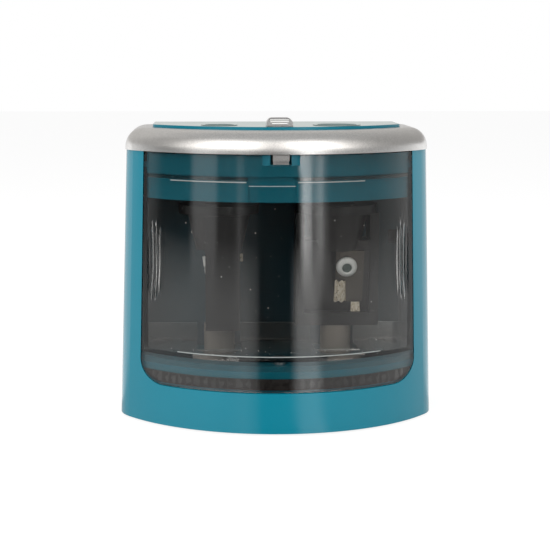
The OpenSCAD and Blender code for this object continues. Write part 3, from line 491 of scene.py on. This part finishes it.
# %% Cell springs
CELL_COIL = {"Turns": 3.4, "Foot Radius": 4.2 * MM, "Head Radius": 2.6 * MM, "Length": 2.3 * MM,
             "Wire": 0.7 * MM, "Material": spring_steel}
CELL_Y, TRAY_FLOOR, TRAY_ROOF = 20.5, 28.3, 81.1    # in mm
parts = bmesh.new()
for x, upright in ((-37.0, True), (-22.2, False), (22.2, True), (37.0, False)):
    mesh = grow("cell coil", springs, CELL_COIL)
    turn = Matrix.Identity(4) if upright else Matrix.Rotation(math.pi, 4, "X")
    place = Vector((x, CELL_Y, TRAY_FLOOR if upright else TRAY_ROOF)) * MM
    mesh.transform(Matrix.Translation(place) @ turn)
    parts.from_mesh(mesh)
mesh = bpy.data.meshes.new("cell_coils")
parts.to_mesh(mesh)
parts.free()
cell_coils = link("cell_coils", mesh, spring_steel)
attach(cell_coils, "housing")
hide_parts("cell_springs")
print("cell coils:", len(mesh.vertices), "points")

# %% [markdown]
# Dust is scattered by another tree: points fall at random on a surface, each carries a tiny ball of
# random size and turn, and the result is one plain mesh. The seed is fixed, so the same dust comes
# back on every run. One patch covers the inside of the clear front, another the floor of the bin.

# %% Dust
def dust_tree():
    tree, given, result = new_tree(
        "dust", ("Surface", "NodeSocketGeometry"), ("Amount", "NodeSocketFloat"),
        ("Smallest", "NodeSocketFloat"), ("Largest", "NodeSocketFloat"),
        ("Seed", "NodeSocketInt"), ("Material", "NodeSocketMaterial"))
    spots = add(tree, "GeometryNodeDistributePointsOnFaces",
                {"Mesh": given["Surface"], "Density": given["Amount"], "Seed": given["Seed"]})
    speck = add(tree, "GeometryNodeMeshIcoSphere", {}, {"Radius": 1.0, "Subdivisions": 1})
    # A random plain number has its range on sockets 2 and 3, and comes out on 1
    size = add(tree, "FunctionNodeRandomValue", {2: given["Smallest"], 3: given["Largest"]})
    turn = add(tree, "FunctionNodeRandomValue", {}, {1: (math.tau,) * 3}, data_type="FLOAT_VECTOR")
    tree.links.new(given["Seed"], size.inputs["Seed"])
    placed = add(tree, "GeometryNodeInstanceOnPoints",
                 {"Points": spots.outputs["Points"], "Instance": speck.outputs["Mesh"],
                  "Scale": size.outputs[1], "Rotation": turn.outputs[0]})
    end_tree(tree, placed.outputs["Instances"], given, result)
    return tree


def patch(name, rows):
    """A plain grid from rows of points, for dust to lie on or to bend into a chip."""
    across = len(rows[0])
    points = [p for row in rows for p in row]
    faces = [(r * across + c, r * across + c + 1, (r + 1) * across + c + 1, (r + 1) * across + c)
             for r in range(len(rows) - 1) for c in range(across - 1)]
    mesh = bpy.data.meshes.new(name)
    mesh.from_pydata(points, [], faces)
    return mesh


dust = dust_tree()
print("dust tree:", len(dust.nodes), "nodes")

# %% Dust on the front and the floor of the bin
JUST_BEHIND = 2.25                  # inset of the dust, a little behind the clear front
FLOOR_Z = 26.2
pale_dust = finish("pale wood dust", "#f6f3ea", 0.9, grain=0.0, drift=0.1)
clear_front = patch("clear front", [[front(math.radians(a), z, JUST_BEHIND) for a in range(-38, 39, 4)]
                                    for z in range(30, 84, 6)])
bin_floor = patch("bin floor", [[Vector((x, y, FLOOR_Z)) * MM for x in range(-40, 41, 8)]
                                for y in (-26, -20, -14)])
# name, surface, specks for each square metre, smallest and largest radius in mm, seed
DUST = (("dust_fine", clear_front, 20000.0, 0.04, 0.11, 3),
        ("dust_coarse", clear_front, 5200.0, 0.12, 0.26, 11),
        ("dust_floor", bin_floor, 30000.0, 0.05, 0.16, 5))
for name, surface, amount, small, large, seed in DUST:
    mesh = grow(name, dust, {"Amount": amount, "Smallest": small * MM, "Largest": large * MM,
                             "Seed": seed, "Material": pale_dust}, surface.copy())
    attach(link(name, mesh), "bin")
    print(name, len(mesh.polygons), "faces")

# %% [markdown]
# A few chips of wood stay on the cutters. A shaving is a thin ribbon, cut on a taper, that rolls up
# as it leaves the blade. It is a grid bent round an upright axis, with a fluted edge and a real
# thickness from Solidify. Fresh cedar is cream, with dark specks of graphite ground into it.

# %% Cedar
GRAIN_MM, SPECK_MM = 0.5, 0.45


def cedar():
    material, tree = new_material("fresh cedar with graphite specks")
    place = add(tree, "ShaderNodeTexCoord").outputs["Object"]
    tall = add(tree, "ShaderNodeMapping", {"Vector": place}, {"Scale": (1, 1, 0.3)})
    grain = add(tree, "ShaderNodeTexNoise", {"Vector": tall.outputs["Vector"]},
                {"Scale": 1 / (GRAIN_MM * MM), "Detail": 3.0})
    wood = add(tree, "ShaderNodeValToRGB", {"Fac": grain.outputs["Fac"]})
    for stone, position, tone in zip(wood.color_ramp.elements, (0.35, 0.65), ("#c2b59c", "#eee5d2")):
        stone.position = position
        stone.color = colour(tone)
    specks = add(tree, "ShaderNodeTexNoise", {"Vector": place}, {"Scale": 1 / (SPECK_MM * MM), "Detail": 1.0})
    few = add(tree, "ShaderNodeMapRange", {"Value": specks.outputs["Fac"]},
              {"From Min": 0.62, "From Max": 0.68})
    both = add(tree, "ShaderNodeMix", {0: few.outputs["Result"], COLOUR_A: wood.outputs["Color"]},
               data_type="RGBA")
    both.inputs[COLOUR_B].default_value = colour("#4a4238")
    shader = add(tree, "ShaderNodeBsdfPrincipled", {"Base Color": both.outputs[MIXED]}, {"Roughness": 0.8})
    add(tree, "ShaderNodeOutputMaterial", {"Surface": shader.outputs["BSDF"]})
    return material


wood = cedar()
print("wood:", wood.name)

# %% Wood chips
ACROSS, UP = 14, 16                 # faces of a chip
CURL_TAPER, FLUTES = 0.12, 9


def chip(name, middle, width, height, radius, flute, lean, thick):
    """A curl of wood; sizes in millimetres and its lean in degrees."""
    sweep = width / radius
    rows = []
    for j in range(UP + 1):
        v = j / UP
        r = radius * (1 - CURL_TAPER * v)
        row = []
        for i in range(ACROSS + 1):
            a = sweep * (i / ACROSS - 0.5)
            z = height * (v - 0.5) + flute * math.sin(a * FLUTES) * (2 * v - 1)
            row.append(Vector((r * math.sin(a), radius - r * math.cos(a), z)) * MM)
        rows.append(row)
    item = link(name, patch(name, rows), wood)
    for face in item.data.polygons:
        face.use_smooth = True
    wall = item.modifiers.new("thickness", "SOLIDIFY")
    wall.thickness = thick * MM
    bpy.context.view_layer.update()
    mesh = bpy.data.meshes.new_from_object(item.evaluated_get(bpy.context.evaluated_depsgraph_get()))
    item.modifiers.remove(wall)
    item.data = mesh
    mesh.transform(Matrix.Translation(Vector(middle) * MM) @ Matrix.Rotation(math.radians(lean), 4, "X"))
    return item


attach(chip("shaving_right", (21.2, -13.0, 45.4), width=4.6, height=7.4, radius=3.2,
             flute=0.35, lean=12, thick=0.25), "right_cutter")
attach(chip("chip_right", (26.5, -12.2, 39.9), width=3.3, height=3.2, radius=9.0,
             flute=0.0, lean=6, thick=0.5), "right_cutter")
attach(chip("chip_left", (-12.6, -10.4, 57.0), width=1.6, height=2.6, radius=2.0,
             flute=0.1, lean=0, thick=0.4), "left_cutter")
print("chips: 3")

# %% [markdown]
# The screw that holds the large blade faces the window, so it gets its true form: a washer head with a
# soft dome and a recess, turned as a lathe would, about the axis of the drawn screw.

# %% Screw of the large blade
HEAD_HEIGHT, HEAD_SIDES = 1.9, 48
# Radius and height of each ring in mm, from the seat over the dome and down into the recess
HEAD = ((3.5, 0), (3.5, 0.75), (3.3, 1.15), (2.9, 1.5), (2.4, 1.8), (1.9, 1.85), (1.6, 1.6), (1.4, 0.95))
RIGHT = Vector((1, 0, 0))


def screw_frame(node):
    """The seat of a drawn screw's head, its axis, and the upward direction across it."""
    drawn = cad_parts[node].data
    corners = [v.co for v in drawn.vertices]
    axis = max(drawn.polygons, key=lambda face: face.area).normal.copy()
    rise = Vector((0, axis.z, -axis.y)) * (1 if axis.y < 0 else -1)
    middle_x = (min(c.x for c in corners) + max(c.x for c in corners)) / 2
    top = max(c.dot(axis) for c in corners)
    heights = [c.dot(rise) for c in corners]
    seat = RIGHT * middle_x + axis * (top - HEAD_HEIGHT * MM) + rise * (min(heights) + max(heights)) / 2
    return seat, axis, rise


def screw_head(name, seat, axis, rise):
    """The last ring of faces and the floor of the recess take the second material."""
    shape = bmesh.new()
    rows = []
    for r, h in HEAD:
        row = []
        for k in range(HEAD_SIDES):
            a = math.tau * k / HEAD_SIDES
            spot = RIGHT * math.cos(a) * r + rise * math.sin(a) * r + axis * h
            row.append(shape.verts.new(seat + spot * MM))
        rows.append(row)
    for low, high in zip(rows, rows[1:]):
        for k in range(HEAD_SIDES):
            n = (k + 1) % HEAD_SIDES
            face = shape.faces.new((low[k], low[n], high[n], high[k]))
            face.smooth = True
            face.material_index = 1 if high is rows[-1] else 0
    shape.faces.new(list(reversed(rows[0])))
    shape.faces.new(rows[-1]).material_index = 1
    bmesh.ops.recalc_face_normals(shape, faces=shape.faces)
    mesh = bpy.data.meshes.new(name)
    shape.to_mesh(mesh)
    shape.free()
    return mesh


seat, axis, rise = screw_frame("right_blade_screw")
mesh = screw_head("blade_screw_head", seat, axis, rise)
# The head is near-white and hardly metallic, a painted highlight; its recess takes painted shade
screw = link("blade_screw_head", mesh, finish("zinc plated steel, head near-white as a painted highlight", "#f4f6f3", 0.35, metal=0.1))
mesh.materials.append(finish("zinc plated steel, in shade", "#55605d", 0.3, metal=0.6))
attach(screw, "right_cutter")
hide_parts("right_blade_screw")
print("screw at", [round(v * 1000, 1) for v in seat], "mm")

# %% [markdown]
# Three ribs on the slope of the release button give the finger a hold. Their colour is near-white, a painted
# highlight.

# %% Button ribs
SLOPE_FOOT, SLOPE = Vector((0, -21.7, 102.6)), 36       # foot of the slope in mm, and its angle
HALF_WIDTHS = (2.6, 3.1, 3.2)                           # from the lowest rib up
FIRST_RIB, RIB_PITCH, RIB_WIDE, RIB_DEEP = 0.85, 1.0, 0.35, 0.3
# Painted highlight: the ribs are near-white and hardly metallic, so they read as bright bars
rib_highlight_paint = finish("silver paint, near-white as a painted highlight", "#f2f2ef", 0.35, metal=0.2)
slope = Matrix.Translation(SLOPE_FOOT * MM) @ Matrix.Rotation(math.radians(SLOPE), 4, "X")
for k, half in enumerate(HALF_WIDTHS):
    low = FIRST_RIB + RIB_PITCH * k
    high = low + RIB_WIDE
    outline = ((low, -RIB_DEEP), (high, -RIB_DEEP), (high, 0.0), (low, 0.0))
    rings = [[slope @ (Vector((x, y, z)) * MM) for y, z in outline] for x in (-half, half)]
    rib = solid("button_rib_%d" % (k + 1), rings, rib_highlight_paint)
    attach(rib, "release")
print("button ribs:", len(HALF_WIDTHS))

# %% [markdown]
# A plain studio. The floor reads white to the camera but keeps the shadow. What shines is set apart
# from what lights: lamps and an even sky light the colours, and three rings of grey and white cards,
# told apart by their compass direction, are all that glossy surfaces see. The near ring lies on the
# table close by, the far ring runs out to the horizon, and the high ring stands above it. The lamps
# don't show in a reflection, so a streak on the bowed front is placed by moving one stop of a ramp.

# %% Cards round the table
# Each stop is a direction in degrees, 0 at the front and 90 at the right, and its brightness
NEAR_CARDS = [(-180, 0.75), (-125, 1.3), (-110, 1.4), (-103, 0.7), (-85, 0.75), (-60, 0.85), (-45, 0.8),
              (-30, 0.7), (-20, 0.9), (-13, 0.5), (-10, 0.02), (9, 0.02), (14, 1.3), (24, 1.6), (30, 0.5),
              (60, 0.7), (85, 0.85), (103, 0.9), (110, 1.4), (125, 1.3), (180, 0.75)]
FAR_CARDS = [(-180, 0.75), (-125, 1.3), (-110, 1.4), (-103, 0.6), (-90, 0.4), (-80, 0.04), (-59, 0.04),
             (-55, 0.8), (-41, 0.75), (-38, 0.12), (-27, 0.12), (-24, 0.5), (-19, 0.12), (-13, 0.1),
             (-11, 0.01), (15, 0.01), (18, 3.8), (22, 3.0), (24, 0.9), (29, 2.0), (32, 0.7), (35, 0.22),
             (70, 0.25), (86, 0.5), (103, 0.9), (110, 1.4), (125, 1.3), (180, 0.75)]
HIGH_CARDS = [(-180, 0.6), (-120, 0.6), (-95, 0.3), (-76, 0.35), (-64, 1.2), (-48, 2.5), (-14, 2.8),
              (-8, 0.6), (4, 0.5), (9, 2.7), (40, 2.6), (56, 0.7), (75, 0.32), (100, 0.3), (180, 0.6)]
GAIN = 4.0                          # a ramp holds brightness over this, so that it stays below 1


def cards(tree, vector, stops, warmth=0.0):
    apart = add(tree, "ShaderNodeSeparateXYZ", {"Vector": vector}).outputs
    ahead = add(tree, "ShaderNodeMath", {0: apart["Y"]}, {1: -1.0}, operation="MULTIPLY").outputs[0]
    around = add(tree, "ShaderNodeMath", {0: apart["X"], 1: ahead}, operation="ARCTAN2").outputs[0]
    share = add(tree, "ShaderNodeMapRange", {"Value": around}, {"From Min": -math.pi, "From Max": math.pi})
    ramp = add(tree, "ShaderNodeValToRGB", {"Fac": share.outputs["Result"]})
    stones = ramp.color_ramp.elements
    while len(stones) < len(stops):
        stones.new(0.5)
    for stone, (degrees, level) in zip(stones, stops):
        stone.position = (degrees + 180) / 360
        stone.color = (*[level / GAIN * (1 - warmth * k) for k in (0, 0.5, 1)], 1)
    return ramp.outputs["Color"]


print("cards:", len(NEAR_CARDS), "near,", len(FAR_CARDS), "far,", len(HIGH_CARDS), "high")

# %% [markdown]
# Light Path counts how often a ray has been scattered or mirrored. A ray that has met no matt surface
# comes from the camera, straight or through clear plastic or off something glossy, so floor and sky
# can show it white or show it the cards, and stay plain for the light that falls on the object.

# %% Kinds of rays
def ray_kinds(tree):
    """1 for a ray that has met no matt surface, and 1 for a ray that has been mirrored."""
    path = add(tree, "ShaderNodeLightPath")
    lit = add(tree, "ShaderNodeMath", {0: path.outputs["Diffuse Depth"]}, {1: 0.5}, operation="LESS_THAN")
    mirrored = add(tree, "ShaderNodeMath", {0: path.outputs["Glossy Depth"]}, {1: 0.5},
                   operation="GREATER_THAN")
    return lit.outputs[0], mirrored.outputs[0]


print("helper ready:", ray_kinds.__name__)

# %% [markdown]
# The floor is a matt white table. To the camera most of it is a plain glow, so it comes out as an even
# white, and the matt rest keeps the shadow under the body. To a mirrored ray it shows the cards: the
# near ring round the object, the far ring towards the horizon, and a blend of both in between.

# %% Floor
HALF_FLOOR = 3                      # in metres
NEAR_END, FAR_START = 0.42, 1.0     # where the near cards end and the far ones start, in metres
# The camera sees the table as a glow with this share, and the rest is matt and keeps the shadow
TABLE_GREY, TABLE_WHITE, TABLE_GLOW = 0.86, 1.05, 0.84


def studio_floor():
    h = HALF_FLOOR
    mesh = bpy.data.meshes.new("floor")
    mesh.from_pydata([(-h, -h, 0), (h, -h, 0), (h, h, 0), (-h, h, 0)], [], [(0, 1, 2, 3)])
    material, tree = new_material("white table")
    material.cycles.emission_sampling = "NONE"
    lit, mirrored = ray_kinds(tree)
    place = add(tree, "ShaderNodeTexCoord").outputs["Object"]
    reach = add(tree, "ShaderNodeVectorMath", {0: place}, operation="LENGTH")
    away = add(tree, "ShaderNodeMapRange", {"Value": reach.outputs["Value"]},
               {"From Min": NEAR_END, "From Max": FAR_START})
    shine = add(tree, "ShaderNodeMix", {0: away.outputs["Result"], COLOUR_A: cards(tree, place, NEAR_CARDS),
                                        COLOUR_B: cards(tree, place, FAR_CARDS)}, data_type="RGBA")
    scaled = add(tree, "ShaderNodeMix", {0: mirrored, COLOUR_B: shine.outputs[MIXED]}, data_type="RGBA")
    scaled.inputs[COLOUR_A].default_value = (TABLE_WHITE, TABLE_WHITE, TABLE_WHITE, 1)
    power = add(tree, "ShaderNodeMapRange", {"Value": mirrored}, {"To Min": 1.0, "To Max": GAIN})
    glow = add(tree, "ShaderNodeEmission",
               {"Color": scaled.outputs[MIXED], "Strength": power.outputs["Result"]})
    matt = add(tree, "ShaderNodeBsdfPrincipled", {},
               {"Base Color": (TABLE_GREY, TABLE_GREY, TABLE_GREY, 1), "Roughness": 0.6})
    most = add(tree, "ShaderNodeMapRange", {"Value": mirrored}, {"To Min": TABLE_GLOW, "To Max": 1.0})
    share = add(tree, "ShaderNodeMath", {0: lit, 1: most.outputs["Result"]}, operation="MULTIPLY")
    both = add(tree, "ShaderNodeMixShader", {0: share.outputs[0], 1: matt.outputs["BSDF"],
                                             2: glow.outputs["Emission"]})
    add(tree, "ShaderNodeOutputMaterial", {"Surface": both.outputs["Shader"]})
    return link("floor", mesh, material)


studio_floor()
print("floor staged")

# %% [markdown]
# The sky is white to the camera and gives matt surfaces an even fill. To a mirrored ray it shows the
# far cards near the horizon, the high cards above them, and a plain grey overhead. Its heights are
# sines of the angle over the horizon, which is what the upward part of a direction holds.

# %% World
HIGH_START, HIGH_FULL = 0.1, 0.2
OVERHEAD_START, OVERHEAD_FULL, OVERHEAD = 0.75, 0.92, 0.4
FILL = 0.55                         # the even light of the sky
HIGH_WARMTH = 0.06                  # how much blue the high cards lack


def studio_sky(tree):
    tree.nodes.clear()
    lit, mirrored = ray_kinds(tree)
    aim = add(tree, "ShaderNodeTexCoord").outputs["Generated"]
    height = add(tree, "ShaderNodeSeparateXYZ", {"Vector": aim}).outputs["Z"]
    climb = add(tree, "ShaderNodeMapRange", {"Value": height},
                {"From Min": HIGH_START, "From Max": HIGH_FULL})
    shine = add(tree, "ShaderNodeMix",
                {0: climb.outputs["Result"], COLOUR_A: cards(tree, aim, FAR_CARDS),
                 COLOUR_B: cards(tree, aim, HIGH_CARDS, HIGH_WARMTH)}, data_type="RGBA")
    above = add(tree, "ShaderNodeMapRange", {"Value": height},
                {"From Min": OVERHEAD_START, "From Max": OVERHEAD_FULL})
    upper = add(tree, "ShaderNodeMix", {0: above.outputs["Result"], COLOUR_A: shine.outputs[MIXED]},
                data_type="RGBA")
    upper.inputs[COLOUR_B].default_value = (OVERHEAD / GAIN, OVERHEAD / GAIN, OVERHEAD / GAIN, 1)
    seen = add(tree, "ShaderNodeMix", {0: mirrored, COLOUR_B: upper.outputs[MIXED]}, data_type="RGBA")
    seen.inputs[COLOUR_A].default_value = (1, 1, 1, 1)
    tone = add(tree, "ShaderNodeMix", {0: lit, COLOUR_B: seen.outputs[MIXED]}, data_type="RGBA")
    tone.inputs[COLOUR_A].default_value = (FILL, FILL, FILL, 1)
    carded = add(tree, "ShaderNodeMath", {0: lit, 1: mirrored}, operation="MULTIPLY").outputs[0]
    strength = add(tree, "ShaderNodeMapRange", {"Value": carded}, {"To Min": 1.0, "To Max": GAIN})
    glow = add(tree, "ShaderNodeBackground",
               {"Color": tone.outputs[MIXED], "Strength": strength.outputs["Result"]})
    add(tree, "ShaderNodeOutputWorld", {"Surface": glow.outputs["Background"]})


world = bpy.data.worlds.new("studio")
bpy.context.scene.world = world
world.use_nodes = True
world.cycles.sampling_method = "NONE"
studio_sky(world.node_tree)
print("world:", len(world.node_tree.nodes), "nodes")

# %% [markdown]
# Two square softboxes light the colours, one above and one in front to the left. Both are large next
# to the object, which keeps shadows soft, and both are hidden from the camera and from reflections.

# %% Lamps
OBJECT_MIDDLE = Vector((0, 0, 0.05))


def softbox(name, place, size, watts):
    data = bpy.data.lights.new(name, "AREA")
    data.shape = "SQUARE"
    data.size = size
    data.energy = watts
    item = bpy.data.objects.new(name, data)
    bpy.context.collection.objects.link(item)
    item.location = place
    item.rotation_euler = (OBJECT_MIDDLE - Vector(place)).to_track_quat("-Z", "Y").to_euler()
    item.visible_camera = item.visible_glossy = item.visible_transmission = False
    return item


softboxes = [softbox("top softbox", place=(0, -0.15, 0.9), size=0.9, watts=9),
             softbox("front softbox", place=(-0.5, -0.9, 0.6), size=0.5, watts=4)]
print("lamps:", [lamp.name for lamp in softboxes])

# %% [markdown]
# The camera looks down by 8.6 degrees and a little from the left, through a long lens, and its shift
# only places the object in the frame.

# %% Camera
VIEW_YAW, VIEW_TILT = math.radians(1.43), math.radians(8.62)
CAMERA_AT = (-0.0124, -0.494, 0.1241)                   # before the turn by VIEW_YAW
FOCAL_PIXELS, IMAGE_PIXELS, SENSOR_MM = 1418.64, 550, 36
SHIFT = 0.062                                           # as a share of the frame's width
view = bpy.data.objects.new("camera", bpy.data.cameras.new("camera"))
bpy.context.collection.objects.link(view)
tilt = Matrix.Rotation(math.pi / 2 - VIEW_TILT, 4, "X")
view.matrix_world = Matrix.Rotation(-VIEW_YAW, 4, "Z") @ Matrix.Translation(CAMERA_AT) @ tilt
view.data.lens = FOCAL_PIXELS * SENSOR_MM / IMAGE_PIXELS
view.data.shift_x = SHIFT
bpy.context.scene.camera = view
bpy.context.scene.view_settings.view_transform = "Standard"
print("camera lens", round(view.data.lens, 1), "mm")

# %% [markdown]
# Last, the view layer is brought up to date. Nothing that Blender adds stands out of the body.

# %% The end
bpy.context.view_layer.update()
